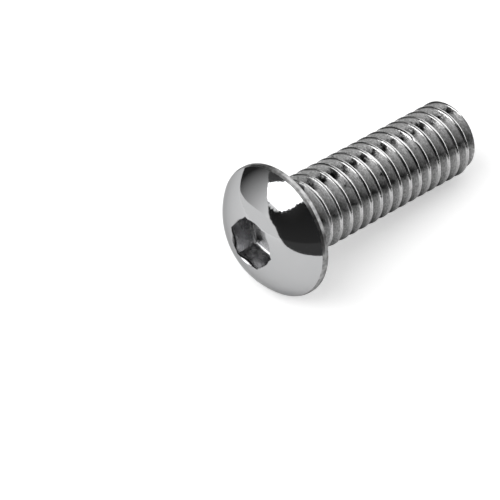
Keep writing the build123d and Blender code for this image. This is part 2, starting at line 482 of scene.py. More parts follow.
# %% [markdown]
# ### The ends of the shank
#
# The sheet runs on past both ends of the shank, so it is trimmed: the cones take off the radius,
# and the points past an end are drawn onto one ring there. The bevel ends in a small round
# before the flat tip, whose points are given by how far in from the bevel and how far up from
# the flat they lie.

# %% Trimming the thread
TIP_ROUND = np.array([(0, 0.06), (0.035, 0.022), (0.085, 0.004), (0.16, 0)])
TIP_SHARES = [0.6, 0.25, 0]
edge_low = -SHANK_LENGTH + TIP_ROUND[0, 1]
thread_radii = np.minimum(thread_radii, cone_radius(thread_heights))
thread_radii[thread_heights < edge_low] = cone_radius(edge_low)
thread_radii[thread_heights > -NECK_LENGTH] = STEM_RADIUS
thread_heights = np.clip(thread_heights, edge_low, -NECK_LENGTH)
thread_points = np.stack([
    thread_radii * np.cos(thread_angle),
    thread_radii * np.sin(thread_angle),
    thread_heights,
], axis=-1)
print("thread points", thread_points.shape)

# %% Faces of the thread: the last row of a turn meets the first row one turn on
SAME_HEIGHT = 1e-9
profile_rows, step_count = thread_radii.shape
row, column = np.meshgrid(np.arange(profile_rows), np.arange(step_count - 1), indexing="ij")
next_row = (row + 1) % profile_rows
shift = np.where(row + 1 == profile_rows, TURN_COLUMNS, 0)
inside = column + 1 + shift < step_count
thread_quads = np.stack([
    row * step_count + column,
    row * step_count + column + 1,
    next_row * step_count + column + 1 + shift,
    next_row * step_count + column + shift,
], axis=-1)[inside]
corner_heights = thread_heights.reshape(-1)[thread_quads]
past_tip = (np.abs(corner_heights - edge_low) < SAME_HEIGHT).all(1)
past_neck = (np.abs(corner_heights + NECK_LENGTH) < SAME_HEIGHT).all(1)
thread_quads = thread_quads[~(past_tip | past_neck)]
print("thread faces", len(thread_quads))

# %% The flat tip and the hidden end under the head, on the same columns as the thread
cap_angle = THREAD_TURN + np.arange(TURN_COLUMNS) * 2 * math.pi / TURN_COLUMNS
tip_edge = float(cone_radius(edge_low))
tip_rows = np.vstack([
    [(tip_edge - inward, -SHANK_LENGTH + up) for inward, up in TIP_ROUND],
    [(share * tip_edge, -SHANK_LENGTH) for share in TIP_SHARES],
])
stem_rows = np.array([(0, -NECK_LENGTH), (STEM_RADIUS, -NECK_LENGTH)])


def turned(profile, angles):
    """Points of a profile turned about the axis: the radius goes round, the height stays."""
    return np.stack([
        profile[:, :1] * np.cos(angles),
        profile[:, :1] * np.sin(angles),
        np.repeat(profile[:, 1:], len(angles), axis=1),
    ], axis=-1)


tip_points = turned(tip_rows, cap_angle)
stem_points = turned(stem_rows, cap_angle)
tip_quads, _ = sheet_faces(len(tip_rows), TURN_COLUMNS)
stem_quads, _ = sheet_faces(len(stem_rows), TURN_COLUMNS)
print("faces of the tip and of the hidden end", len(tip_quads), len(stem_quads))

# %% [markdown]
# ## One mesh, laid down at rest
#
# The sheets are joined into one mesh, because the screw is one piece of steel. The screw rests
# on the rim of its head and on the thread crest nearest to the tip, so its axis leans by a few
# degrees, and the same right triangle as in the solid gives that lean: one side runs along the
# axis from the rim to that crest, and the other is how much farther out the rim is.

# %% Lean of the axis and the place of the underside
crest_start = -SHANK_LENGTH + (MAJOR_RADIUS - TIP_RADIUS) * TIP_SLOPE
crest_phase = -SHANK_LENGTH + PITCH * (0.5 + (math.pi - THREAD_TURN) / (2 * math.pi))
crests_above = math.ceil((crest_start - crest_phase - HALF_CREST) / PITCH)
crest_rest = max(crest_phase + crests_above * PITCH - HALF_CREST, crest_start)
lean = math.atan2(HEAD_RADIUS - MAJOR_RADIUS, RIM_CHAMFER - crest_rest)
underside = np.array([
    cad_high.x * 1000 - TIP_RADIUS * math.sin(lean) - SHANK_LENGTH * math.cos(lean),
    0.0,
    HEAD_RADIUS * math.cos(lean) - RIM_CHAMFER * math.sin(lean),
])
axis_up = np.array([math.sin(lean), 0, math.cos(lean)])
axis_side = np.array([0, 1, 0])
axis_head = np.array([-math.cos(lean), 0, math.sin(lean)])
print("lean", round(math.degrees(lean), 4), "underside at", underside.round(4))


def laid_down(points):
    """Points of the screw's own axes placed in the frame: X goes up, Y aside, Z to the head."""
    flat = points.reshape(-1, 3)
    return underside + flat[:, :1] * axis_up + flat[:, 1:2] * axis_side + flat[:, 2:] * axis_head


# %% The mesh of the screw
sheets = [head_points, thread_points, tip_points, stem_points]
sheet_quads = [head_quads, thread_quads, tip_quads, stem_quads]
first_points = np.cumsum([0] + [points.size // 3 for points in sheets[:-1]])
vertices = np.vstack([laid_down(points) for points in sheets]) / 1000
faces = np.vstack([quads + first for quads, first in zip(sheet_quads, first_points)])
HEAD_FINISH, THREAD_FINISH, SOCKET_FINISH = range(3)
finish = np.full(len(faces), THREAD_FINISH, np.int32)
finish[:len(head_quads)] = np.where(head_face_rows >= socket_start, SOCKET_FINISH, HEAD_FINISH)
screw_mesh = bpy.data.meshes.new("screw")
screw_mesh.from_pydata(vertices.tolist(), [], faces.tolist())
screw_mesh.polygons.foreach_set("material_index", finish)
screw_mesh.polygons.foreach_set("use_smooth", np.ones(len(faces), bool))
print("points", len(vertices), "faces", len(faces))

# %% [markdown]
# ### What the finishes need to know
#
# A finish can't tell by itself where a crest or a worn edge is, so the mesh carries a few
# numbers for each point, and the finishes read them by name: how burnished it is, less where
# painted shade dims it, how dark a line of painted shade runs there, how dark the painted
# reflections are at the top and low down, and whether it is on the worn rim.
# They could be painted by hand, but worked out from rows and columns they fit the shape exactly.
# The rim is worn from its outer lower corner to the middle of the round that leads to the dome,
# and the line of painted shade on the head runs just inside the socket's mouth, at the punched edge.

# %% Numbers on the points
TIP_BURNISH = 0.9
# How much the seam's painted shade dims the crest's bright colour
SEAM_SHADE_ON_CREST = 0.8
rim_wear = np.zeros(head_radii.shape)
rim_first = len(neck_rows) + POINTS_PER_CORNER
rim_wear[rim_first:rim_first + 2 * POINTS_PER_CORNER + POINTS_PER_CORNER // 2] = 1
# A line of painted shade just inside the socket's mouth
mouth_painted_shade = np.zeros(head_radii.shape)
mouth_painted_shade[socket_start + 1:socket_start + 4] = 1


def add_numbers(name, head=0.0, thread=0.0, tip=0.0):
    """Stores a number for each point under a name; the stem, which is hidden, always gets 0."""
    layer = screw_mesh.attributes.new(name, "FLOAT", "POINT")
    values = [
        np.broadcast_to(value, points.shape[:2]).reshape(-1)
        for value, points in zip((head, thread, tip, 0.0), sheets)
    ]
    layer.data.foreach_set("value", np.concatenate(values).astype(np.float32))


# Crest brightness: the burnish, dimmed by painted shade low on the camera's side and under the seam
add_numbers("crest_shine_and_shade", thread=burnish_and_shade * (1 - SEAM_SHADE_ON_CREST * seam_and_painted_shade), tip=TIP_BURNISH)
# The dark line is painted shade: beside each crest, and just inside the socket's mouth
add_numbers("painted_shade_line", head=mouth_painted_shade, thread=seam_and_painted_shade)
# Painted dark reflection low on the camera's side
add_numbers("low_painted_reflection", thread=low_painted_reflection)
add_numbers("rim_wear", head=rim_wear)
# Painted dark reflection along the top
add_numbers("top_painted_reflection_band", thread=top_painted_reflection_band)
print("numbers on the points", [layer.name for layer in screw_mesh.attributes])

# %% [markdown]
# ### Unwrapping
#
# The marks of the dies follow the helix, so their pattern needs coordinates that do so too: the
# length along the helix and the length along the profile, both in millimetres. Blender's own
# unwrapping would cut a helix to pieces. The head gets the angle and the height instead, so that
# the marks in the socket stand upright. The flat ends, where no pattern shows, get their own X and Y.

# %% Coordinates along the helix, in millimetres
HEAD_UNWRAP_RADIUS = 4
middle_column = turns // 2 * TURN_COLUMNS
profile_length = np.concatenate([[0], np.cumsum(np.hypot(
    np.diff(thread_radii[:, middle_column]), np.diff(thread_heights[:, middle_column]),
))])
helix_length = helix_angle * MAJOR_RADIUS
thread_uv = np.stack(np.broadcast_arrays(helix_length[None, :], profile_length[:, None]), axis=-1)
head_length = np.broadcast_to(around * HEAD_UNWRAP_RADIUS, head_radii.shape)
all_uv = np.vstack([
    np.stack([head_length, head_heights], axis=-1).reshape(-1, 2),
    thread_uv.reshape(-1, 2),
    tip_points.reshape(-1, 3)[:, :2],
    stem_points.reshape(-1, 3)[:, :2],
])
unwrap = screw_mesh.uv_layers.new(name="along_thread")
unwrap.data.foreach_set("uv", all_uv[faces.reshape(-1)].astype(np.float32).reshape(-1))
print("length of the helix in mm", round(float(helix_length[-1]), 1))

# %% [markdown]
# ### Closing the mesh
#
# Where the cones cut the sheet, and at the poles, many points share a place. They are merged,
# faces that have shrunk to nothing go, and every shell is turned to face outwards, because a
# wrong side would turn bumps inside out. Shading is smooth, apart from edges that turn by more
# than SHARP_ANGLE.

# %% Merging, outward faces, sharp edges
MERGE_DISTANCE = 3e-7
SHARP_ANGLE = math.radians(32)
work = bmesh.new()
work.from_mesh(screw_mesh)
bmesh.ops.remove_doubles(work, verts=work.verts, dist=MERGE_DISTANCE)
bmesh.ops.dissolve_degenerate(work, edges=work.edges, dist=MERGE_DISTANCE)
bmesh.ops.recalc_face_normals(work, faces=work.faces)
open_edges = sum(1 for edge in work.edges if not edge.is_manifold)
print("faces", len(work.faces), "edges that are not closed", open_edges)
print("volume in cubic mm", round(work.calc_volume() * 1e9, 1))
work.to_mesh(screw_mesh)
work.free()
screw_mesh.set_sharp_from_angle(angle=SHARP_ANGLE)
screw_mesh.update()
screw = bpy.data.objects.new("plated_screw", screw_mesh)
bpy.context.scene.collection.objects.link(screw)
print("triangles", sum(len(face.vertices) - 2 for face in screw_mesh.polygons))

# %% [markdown]
# ## Helpers for the finishes
#
# A finish is a small graph of nodes. One function adds a node with its settings and its links,
# and one function turns a colour written as sRGB hex into the linear numbers that Blender
# works with. Coordinates are the object's own, in metres, so the scale of a pattern is MM over
# its real size in millimetres.

# %% Colour and node helpers
MM = 1000.0


def linear(hex_colour):
    """Linear red, green, blue and alpha of an sRGB hex colour, by the sRGB curve."""
    channels = np.array([int(hex_colour[i:i + 2], 16) / 255 for i in (1, 3, 5)])
    curve = np.where(channels <= 0.04045, channels / 12.92, ((channels + 0.055) / 1.055) ** 2.4)
    return (*curve.tolist(), 1.0)


def add_node(tree, kind, inputs=None, **settings):
    """Adds one node; an input's value may be a number, a colour or another node's output."""
    node = tree.nodes.new(kind)
    for name, value in settings.items():
        setattr(node, name, value)
    for name, value in (inputs or {}).items():
        socket = node.inputs[name]
        if isinstance(value, bpy.types.NodeSocket):
            tree.links.new(value, socket)
        else:
            socket.default_value = value
    return node


def new_material(name):
    """A material with an empty node graph."""
    material = bpy.data.materials.new(name)
    material.use_nodes = True
    material.node_tree.nodes.clear()
    return material


print("the middle grey #808080 is", round(linear("#808080")[0], 3), "in linear light")

# %% [markdown]
# ## Bright chrome on the head
#
# Decorative chrome is electroplated as a hard, thin layer over polished nickel. To the eye it is
# a neutral mirror that gives back a little over half of the light, which is why white paper looks
# light grey in it. The die leaves a faint unevenness of about a millimetre and a half under the
# plating, so reflections bend a little. The grain of the polish is a few hundredths of a
# millimetre, too fine to show, so it is drawn 0.12 mm coarse, as slight changes of the gloss.
# Metals get brighter at a grazing angle, chrome a little less than most, so that gets a tint.
#
# The rim is not a mirror any more: handling has scuffed it to a satin with darker spots. That
# could be a material of its own, but mixing it in by the number rim_wear leaves no border.

# %% Finish of the head
def bright_chrome():
    """Chrome plate: a mirror with faint waves and grain, scuffed and spotted on the rim."""
    material = new_material("bright_chrome_plate")
    tree = material.node_tree
    place = add_node(tree, "ShaderNodeTexCoord")
    waviness = add_node(tree, "ShaderNodeTexNoise", {
        "Vector": place.outputs["Object"], "Scale": MM / 1.6, "Detail": 2.0, "Roughness": 0.4,
    })
    grain = add_node(tree, "ShaderNodeTexNoise", {
        "Vector": place.outputs["Object"], "Scale": MM / 0.12, "Detail": 3.0, "Roughness": 0.6,
    })
    polish = add_node(tree, "ShaderNodeMapRange", {
        "Value": grain.outputs["Fac"], "From Min": 0.3, "From Max": 0.75, "To Min": 0.035, "To Max": 0.085,
    })
    wave_bump = add_node(tree, "ShaderNodeBump", {
        "Height": waviness.outputs["Fac"], "Strength": 0.05, "Distance": 0.05 / MM,
    })
    grain_bump = add_node(tree, "ShaderNodeBump", {
        "Height": grain.outputs["Fac"], "Strength": 0.03, "Distance": 0.01 / MM,
        "Normal": wave_bump.outputs["Normal"],
    })
    mirror_tint = add_node(tree, "ShaderNodeMix", {
        "Factor": waviness.outputs["Fac"], "A": linear("#C3C4C5"), "B": linear("#C8C8C9"),
    }, data_type="RGBA")
    speckle = add_node(tree, "ShaderNodeTexNoise", {
        "Vector": place.outputs["Object"], "Scale": MM / 0.6, "Detail": 4.0, "Roughness": 0.6,
    })
    spots = add_node(tree, "ShaderNodeMapRange", {
        "Value": speckle.outputs["Fac"], "From Min": 0.32, "From Max": 0.62,
    })
    scuffed_tint = add_node(tree, "ShaderNodeMix", {
        "Factor": spots.outputs["Result"], "A": linear("#787878"), "B": linear("#B8B8B8"),
    }, data_type="RGBA")
    rim = add_node(tree, "ShaderNodeAttribute", attribute_name="rim_wear")
    tint = add_node(tree, "ShaderNodeMix", {
        "Factor": rim.outputs["Fac"], "A": mirror_tint.outputs["Result"], "B": scuffed_tint.outputs["Result"],
    }, data_type="RGBA")
    gloss = add_node(tree, "ShaderNodeMix", {
        "Factor": rim.outputs["Fac"], "A": polish.outputs["Result"], "B": 0.3,
    }, data_type="FLOAT")
    shader = add_node(tree, "ShaderNodeBsdfPrincipled", {
        "Base Color": tint.outputs["Result"], "Metallic": 1.0, "Roughness": gloss.outputs["Result"],
        "Specular Tint": linear("#C8C8C8"), "Normal": grain_bump.outputs["Normal"],
    })
    add_node(tree, "ShaderNodeOutputMaterial", {"Surface": shader.outputs["BSDF"]})
    return material


head_finish = bright_chrome()
print(head_finish.name, "has", len(head_finish.node_tree.nodes), "nodes")

# %% [markdown]
# ## Chrome over rolled steel on the thread
#
# The same plating looks different on the thread, because plating copies what is under it. The
# dies leave fine marks along the helix, so the flanks are satin and streaky. The current of the
# plating bath hardly reaches into the grooves, so the layer is thin and blotchy there and the
# steel shows dark. The burnished crests are nearly a mirror, and the seams beside them are
# painted black as shade. Low on the camera's side the crests are painted darker, a painted
# shade, and two rows of painted dark reflection run along the screw.
#
# Real rolling marks are a few hundredths of a millimetre wide and wouldn't show. They are drawn
# 0.1 mm wide and 0.3 mm long, on the coordinates along the helix, so that they follow the
# thread. The blotches are 0.5 mm, with a broad change of 2.4 mm.

# %% Patterns on the thread
THREAD_MARKS_PER_MM = (3.0, 9.0, 1.0)


def thread_patterns(tree):
    """Three noises: blotches and their broad change on the object, rolling marks on the helix."""
    place = add_node(tree, "ShaderNodeTexCoord")
    helix = add_node(tree, "ShaderNodeUVMap", uv_map="along_thread")
    blotch = add_node(tree, "ShaderNodeTexNoise", {
        "Vector": place.outputs["Object"], "Scale": MM / 0.55, "Detail": 4.0, "Roughness": 0.62,
    })
    broad = add_node(tree, "ShaderNodeTexNoise", {
        "Vector": place.outputs["Object"], "Scale": MM / 2.4, "Detail": 2.0,
    })
    stretch = add_node(tree, "ShaderNodeMapping", {
        "Vector": helix.outputs["UV"], "Scale": THREAD_MARKS_PER_MM,
    })
    marks = add_node(tree, "ShaderNodeTexNoise", {
        "Vector": stretch.outputs["Vector"], "Scale": 1.0, "Detail": 3.0, "Roughness": 0.6,
    })
    return blotch.outputs["Fac"], broad.outputs["Fac"], marks.outputs["Fac"]


print("rolling marks in one millimetre along and across the helix:", THREAD_MARKS_PER_MM[:2])

# %% [markdown]
# The colour is laid on in coats, each over the last: grey streaks on the flanks, dark steel
# where the blotches pass a threshold, the low band of painted dark reflection, the bright crest
# and the seam's painted shade. Near the top of the screw the blotches pass the threshold more
# easily, which gives the row of black spots there, a painted dark reflection. One image could
# hold all that, but coats made of noise have no border and no pixels, and each can be changed by
# itself.

# %% Colour of the thread
def thread_colour(tree, blotch, broad, marks, crest, top):
    """Streaks, thin spots, painted reflections, bright crest and painted seam shade, each over the last."""
    streaks = add_node(tree, "ShaderNodeMapRange", {"Value": marks, "From Min": 0.35, "From Max": 0.65})
    flank = add_node(tree, "ShaderNodeMix", {
        "Factor": streaks.outputs["Result"], "A": linear("#909090"), "B": linear("#CACACA"),
    }, data_type="RGBA")
    uneven = add_node(tree, "ShaderNodeMath", {0: blotch, 1: broad}, operation="ADD")
    # Along the top the dark patches come more easily: a painted dark reflection
    let_through = add_node(tree, "ShaderNodeMath", {0: top, 1: 0.33}, operation="MULTIPLY")
    patches = add_node(tree, "ShaderNodeMath", {
        0: uneven.outputs[0], 1: let_through.outputs[0],
    }, operation="ADD")
    thin_plate_and_top_reflection = add_node(tree, "ShaderNodeMapRange", {
        "Value": patches.outputs[0], "From Min": 1.17, "From Max": 1.35,
    })
    blotched = add_node(tree, "ShaderNodeMix", {
        "Factor": thin_plate_and_top_reflection.outputs["Result"], "A": flank.outputs["Result"], "B": linear("#303030"),
    }, data_type="RGBA")
    # The low band of painted dark reflection, broken into spots, mixed to #404040
    low = add_node(tree, "ShaderNodeAttribute", attribute_name="low_painted_reflection")
    low_band_spots = add_node(tree, "ShaderNodeMapRange", {
        "Value": blotch, "From Min": 0.38, "From Max": 0.58, "To Min": 0.25, "To Max": 0.95,
    })
    band = add_node(tree, "ShaderNodeMath", {
        0: low.outputs["Fac"], 1: low_band_spots.outputs["Result"],
    }, operation="MULTIPLY")
    with_low_band = add_node(tree, "ShaderNodeMix", {
        "Factor": band.outputs[0], "A": blotched.outputs["Result"], "B": linear("#404040"),
    }, data_type="RGBA")
    bright = add_node(tree, "ShaderNodeMix", {
        "Factor": crest, "A": with_low_band.outputs["Result"], "B": linear("#E2E2E2"),
    }, data_type="RGBA")
    # The seam's dark line: painted shade
    line = add_node(tree, "ShaderNodeAttribute", attribute_name="painted_shade_line")
    lined = add_node(tree, "ShaderNodeMix", {
        "Factor": line.outputs["Fac"], "A": bright.outputs["Result"], "B": linear("#151515"),
    }, data_type="RGBA")
    return lined.outputs["Result"]


print("coats on the thread: streaks, thin spots, low band, crest, seam")

# %% Finish of the thread
def rolled_thread_chrome():
    """Chrome on rolled steel: satin, glossier on the crests and at the top, with fine bumps."""
    material = new_material("chrome_on_rolled_thread")
    tree = material.node_tree
    blotch, broad, marks = thread_patterns(tree)
    # The crest number carries the burnish and the painted shade on the crests
    crest = add_node(tree, "ShaderNodeAttribute", attribute_name="crest_shine_and_shade").outputs["Fac"]
    top = add_node(tree, "ShaderNodeAttribute", attribute_name="top_painted_reflection_band").outputs["Fac"]
    satin = add_node(tree, "ShaderNodeMapRange", {
        "Value": top, "From Min": 0.0, "From Max": 0.35, "To Min": 0.42, "To Max": 0.12,
    })
    gloss = add_node(tree, "ShaderNodeMix", {
        "Factor": crest, "A": satin.outputs["Result"], "B": 0.09,
    }, data_type="FLOAT")
    mark_bump = add_node(tree, "ShaderNodeBump", {
        "Height": marks, "Strength": 0.25, "Distance": 0.03 / MM,
    })
    lump_bump = add_node(tree, "ShaderNodeBump", {
        "Height": blotch, "Strength": 0.6, "Distance": 0.05 / MM, "Normal": mark_bump.outputs["Normal"],
    })
    shader = add_node(tree, "ShaderNodeBsdfPrincipled", {
        "Base Color": thread_colour(tree, blotch, broad, marks, crest, top),
        "Metallic": 1.0, "Roughness": gloss.outputs["Result"], "Normal": lump_bump.outputs["Normal"],
    })
    add_node(tree, "ShaderNodeOutputMaterial", {"Surface": shader.outputs["BSDF"]})
    return material


thread_finish = rolled_thread_chrome()
print(thread_finish.name, "has", len(thread_finish.node_tree.nodes), "nodes")

# %% [markdown]
# ## Thin plating in the socket
#
# A punch pressed the socket into the head, and plating hardly reaches into so deep a hole. To the
# eye the walls are a greyer, blotchy mirror with fine upright marks of the punch, and along the
# edge of the mouth runs a dark line of painted shade. The blotches are about a millimetre.
# Real marks of a punch are too fine to show, so they are drawn 0.1 mm wide and 2 mm long.

# %% Finish of the socket
SOCKET_MARKS_PER_MM = (9.0, 0.5, 1.0)


def thin_socket_plate():
    """Thin plate on punched steel: blotchy grey mirror, upright marks, painted shade at the mouth."""
    material = new_material("thin_plate_in_the_socket")
    tree = material.node_tree
    place = add_node(tree, "ShaderNodeTexCoord")
    blotch = add_node(tree, "ShaderNodeTexNoise", {
        "Vector": place.outputs["Object"], "Scale": MM / 0.9, "Detail": 4.0, "Roughness": 0.6,
    })
    unwrapped = add_node(tree, "ShaderNodeUVMap", uv_map="along_thread")
    stretch = add_node(tree, "ShaderNodeMapping", {
        "Vector": unwrapped.outputs["UV"], "Scale": SOCKET_MARKS_PER_MM,
    })
    marks = add_node(tree, "ShaderNodeTexNoise", {
        "Vector": stretch.outputs["Vector"], "Scale": 1.0, "Detail": 2.0,
    })
    gloss = add_node(tree, "ShaderNodeMapRange", {
        "Value": blotch.outputs["Fac"], "From Min": 0.35, "From Max": 0.65, "To Min": 0.16, "To Max": 0.34,
    })
    wall_tint = add_node(tree, "ShaderNodeMix", {
        "Factor": blotch.outputs["Fac"], "A": linear("#868688"), "B": linear("#D0D0D1"),
    }, data_type="RGBA")
    line = add_node(tree, "ShaderNodeAttribute", attribute_name="painted_shade_line")
    # The line of painted shade just inside the mouth, mixed to #202020
    lip_shade = add_node(tree, "ShaderNodeMapRange", {
        "Value": line.outputs["Fac"], "From Min": 0.55, "From Max": 0.95, "To Min": 0.0, "To Max": 0.9,
    })
    tint = add_node(tree, "ShaderNodeMix", {
        "Factor": lip_shade.outputs["Result"], "A": wall_tint.outputs["Result"], "B": linear("#202020"),
    }, data_type="RGBA")
    mark_bump = add_node(tree, "ShaderNodeBump", {
        "Height": marks.outputs["Fac"], "Strength": 0.15, "Distance": 0.03 / MM,
    })
    shader = add_node(tree, "ShaderNodeBsdfPrincipled", {
        "Base Color": tint.outputs["Result"], "Metallic": 1.0, "Roughness": gloss.outputs["Result"],
        "Normal": mark_bump.outputs["Normal"],
    })
    add_node(tree, "ShaderNodeOutputMaterial", {"Surface": shader.outputs["BSDF"]})
    return material


socket_finish = thin_socket_plate()
print(socket_finish.name, "has", len(socket_finish.node_tree.nodes), "nodes")

# %% Giving the screw its finishes, in the order of the faces' numbers
for material in (head_finish, thread_finish, socket_finish):
    screw_mesh.materials.append(material)
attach(screw, "root")
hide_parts("button_head_screw")
print("finishes", [material.name for material in screw_mesh.materials])

# %% [markdown]
# ## The studio
#
# Chrome has no colour of its own: it shows the room. A polished dome is a wide-angle mirror, so
# the room is arranged by what the dome has to show: white paper below, a large soft lamp above
# and behind, and cards and cloths round them. A photographer does the same with card on stands.
# The cards are only seen in reflections, so they block neither the lamp nor the camera. Each is
# a strip of a sphere round the head: its azimuths go along it, in degrees, and its lower and
# upper edge are elevations in degrees.

# %% Cards that only the metal sees
HEAD_CENTRE = np.array([-0.0125, 0.0, 0.0075])


def only_in_mirrors(thing):
    """Leaves a thing visible to glossy rays alone."""
    for ray in ("camera", "diffuse", "transmission", "volume_scatter", "shadow"):
        setattr(thing, "visible_" + ray, False)


print("cards stand round", HEAD_CENTRE, "in metres")

# %% [markdown]
# A card needs no lamp on it, because its paint is light itself: the Emission shader. Many cards
# in a studio are lit from one side, so the paint may blend from one colour to another, up the
# card or along it.

# %% Paint as light, and the paint of the two black cloths
def glow(name, colour, strength=1.0, upper=None, along=False, span=(0.0, 1.0)):
    """Paint as light: one colour, or a blend to a second one up the card or along it."""
    material = new_material(name)
    tree = material.node_tree
    paint = linear(colour)
    if upper:
        place = add_node(tree, "ShaderNodeUVMap", uv_map="card")
        apart = add_node(tree, "ShaderNodeSeparateXYZ", {"Vector": place.outputs["UV"]})
        share = add_node(tree, "ShaderNodeMapRange", {
            "Value": apart.outputs["X" if along else "Y"], "From Min": span[0], "From Max": span[1],
        })
        blend = add_node(tree, "ShaderNodeMix", {
            "Factor": share.outputs["Result"], "A": paint, "B": linear(upper),
        }, data_type="RGBA")
        paint = blend.outputs["Result"]
    light = add_node(tree, "ShaderNodeEmission", {"Color": paint, "Strength": strength})
    add_node(tree, "ShaderNodeOutputMaterial", {"Surface": light.outputs["Emission"]})
    return material


cloth_paint = glow("black_cloth_paint", "#343434", upper="#1E1E1E")
flag_paint = glow("black_flag_paint", "#505050", upper="#1C1C1C")
print("paints", cloth_paint.name, flag_paint.name)

# %% A card: a strip of a sphere round the head
CARD_ROWS = 12


def card(name, azimuths, lows, highs, distance, paint):
    """A strip of a sphere: the head's centre plus the distance times the direction.

    The direction is (cos e cos a, cos e sin a, sin e), where the azimuth a goes along the strip
    and the elevation e goes evenly from its lower to its upper edge.
    """
    count = len(azimuths)
    share = np.linspace(0, 1, CARD_ROWS)[:, None]
    elevation = np.radians((1 - share) * lows + share * highs)
    azimuth = np.radians(azimuths)[None, :]
    points = HEAD_CENTRE + distance * np.stack(np.broadcast_arrays(
        np.cos(elevation) * np.cos(azimuth), np.cos(elevation) * np.sin(azimuth), np.sin(elevation),
    ), axis=-1)
    row, column = np.meshgrid(np.arange(CARD_ROWS - 1), np.arange(count - 1), indexing="ij")
    corner = row * count + column
    quads = np.stack([corner, corner + 1, corner + count + 1, corner + count], axis=-1).reshape(-1, 4)
    mesh = bpy.data.meshes.new(name)
    mesh.from_pydata(points.reshape(-1, 3).tolist(), [], quads.tolist())
    layer = mesh.uv_layers.new(name="card")
    uv = np.stack(np.broadcast_arrays(np.linspace(0, 1, count)[None, :], share), axis=-1).reshape(-1, 2)
    layer.data.foreach_set("uv", uv[quads.reshape(-1)].astype(np.float32).reshape(-1))
    mesh.materials.append(paint)
    thing = bpy.data.objects.new(name, mesh)
    bpy.context.scene.collection.objects.link(thing)
    only_in_mirrors(thing)
    print(name, "has", len(quads), "faces")


# %% [markdown]
# ### Black cloth with torn edges
#
# The black field on the dome, with its ragged border, is a black cloth beyond the paper. The
# dark wedge near the rim, above the white field, is a flag, as a photographer calls a black
# cloth that keeps light off. Both have an edge through a few elevations, chosen until the
# dome showed the fields of the photograph, with waves laid over it as on torn cloth. Each is a
# little lighter low down, where light from the paper falls on it.

# %% The black cloth and the black flag
FRAY = [(1.0, 1.13, 2), (0.7, 2.31, 0), (0.5, 0.57, 1)]
FINE_FRAY = [(0.6, 4.3, 1)]
FINE_FRAY_COMES_AND_GOES = [(1.0, 0.31, 0)]


def torn(azimuths, knots, heights, size):
    """An edge through the given elevations plus size times the waves of the torn cloth."""
    fine = waves(azimuths, FINE_FRAY) * waves(azimuths, FINE_FRAY_COMES_AND_GOES)
    return np.interp(azimuths, knots, heights) + size * (waves(azimuths, FRAY) + fine)


FRAY_STEP = 0.5
cloth_side = np.arange(150, 306, FRAY_STEP)
cloth_top = torn(
    cloth_side,
    [150, 157, 165, 172, 180, 188, 197, 203, 210, 222, 236, 250, 306],
    [33, 29, 28, 29, 33, 38, 45, 51, 54, 56, 61, 63, 58],
    1.15,
)
card("black_cloth", cloth_side, -1, cloth_top, 0.48, cloth_paint)
flag_side = np.arange(74, 151, FRAY_STEP)
flag_low = torn(flag_side, [74, 127, 131, 137, 143, 150], [38, 39, 46, 55, 60.5, 64], 0.7)
card("black_flag", flag_side, flag_low, 78, 0.45, flag_paint)

# %% [markdown]
# ### Grey, dim and bright cards
#
# The grey field on the dome fades from dark to white: a card that gets lighter along its length.
# A dim card stands behind the screw, and a bright one beyond the tip shows in the flanks of the
# thread that face it, as a white board would. The pale band between the fields is the edge of
# the paper, which curls up behind the screw. Their edges, too, were chosen one by one.

# %% The four cards
grey_side = np.arange(76, 187, 1.0)
grey_top = torn(
    grey_side,
    [76, 100, 127, 130, 140, 150, 157, 160, 167, 180, 186],
    [40, 40, 41, 40, 37, 32, 28.5, 25, 18, 10.5, 2],
    0.3,
)
grey_paint = glow("grey_card_paint", "#2C2C2C", upper="#FFFFFF", along=True, span=(0.2, 0.8))
card("grey_card", grey_side, -2, grey_top, 0.42, grey_paint)
dim_side = np.arange(30, 79, 1.0)
dim_top = np.interp(dim_side, [30, 45, 60, 78], [14, 24, 30, 38])
card("dim_card", dim_side, -2, dim_top, 0.5, glow("dim_card_paint", "#3C3C3C", upper="#5A5A5A"))
bounce_side = np.arange(-60, 31, 3.0)
card("bounce_card", bounce_side, 5, 62, 0.55, glow("bounce_card_paint", "#FFFFFF", strength=1.6))
curl_side = np.arange(90, 193, 1.0)
curl_top = np.interp(
    curl_side,
    [90, 100, 110, 120, 130, 140, 150, 160, 170, 180, 184, 188, 193],
    [-2, -2, 0, 4, 8, 12, 15, 16.5, 15, 11, 6, 0, -2],
)
card("paper_curl", curl_side, -2, curl_top, 0.3, glow("paper_curl_paint", "#FFFFFF", strength=0.93))

# %% [markdown]
# ### Two dark places on the table
#
# The edge of the dark cloth comes within a couple of centimetres of the screw on the camera's
# side, where the paper ends, and the screw mirrors it low on that side. The shank also mirrors
# its own shade on the paper, which paper under a soft lamp gives too pale. Both are flat shapes
# just above the paper that only the metal sees, and the shade fades out at its sides and
# towards the head.

# %% The dark edge beyond the paper, in metres
CLOTH_EDGE_HEIGHT = 0.0004
cloth_edge = np.array([
    (-0.6, -0.085), (-0.15, -0.030), (-0.088, -0.0215), (-0.063, -0.019), (-0.046, -0.0192),
    (-0.036, -0.0202), (-0.024, -0.0235), (-0.01, -0.029), (0.6, -0.036), (0.6, -0.6), (-0.6, -0.6),
])
cloth_points = np.column_stack([cloth_edge, np.full(len(cloth_edge), CLOTH_EDGE_HEIGHT)])
cloth_mesh = bpy.data.meshes.new("cloth_edge")
cloth_mesh.from_pydata(cloth_points[::-1].tolist(), [], [tuple(range(len(cloth_edge)))])
cloth_mesh.materials.append(glow("cloth_edge_paint", "#464646"))
cloth = bpy.data.objects.new("cloth_edge", cloth_mesh)
bpy.context.scene.collection.objects.link(cloth)
only_in_mirrors(cloth)
print("cloth edge with", len(cloth_edge), "corners")

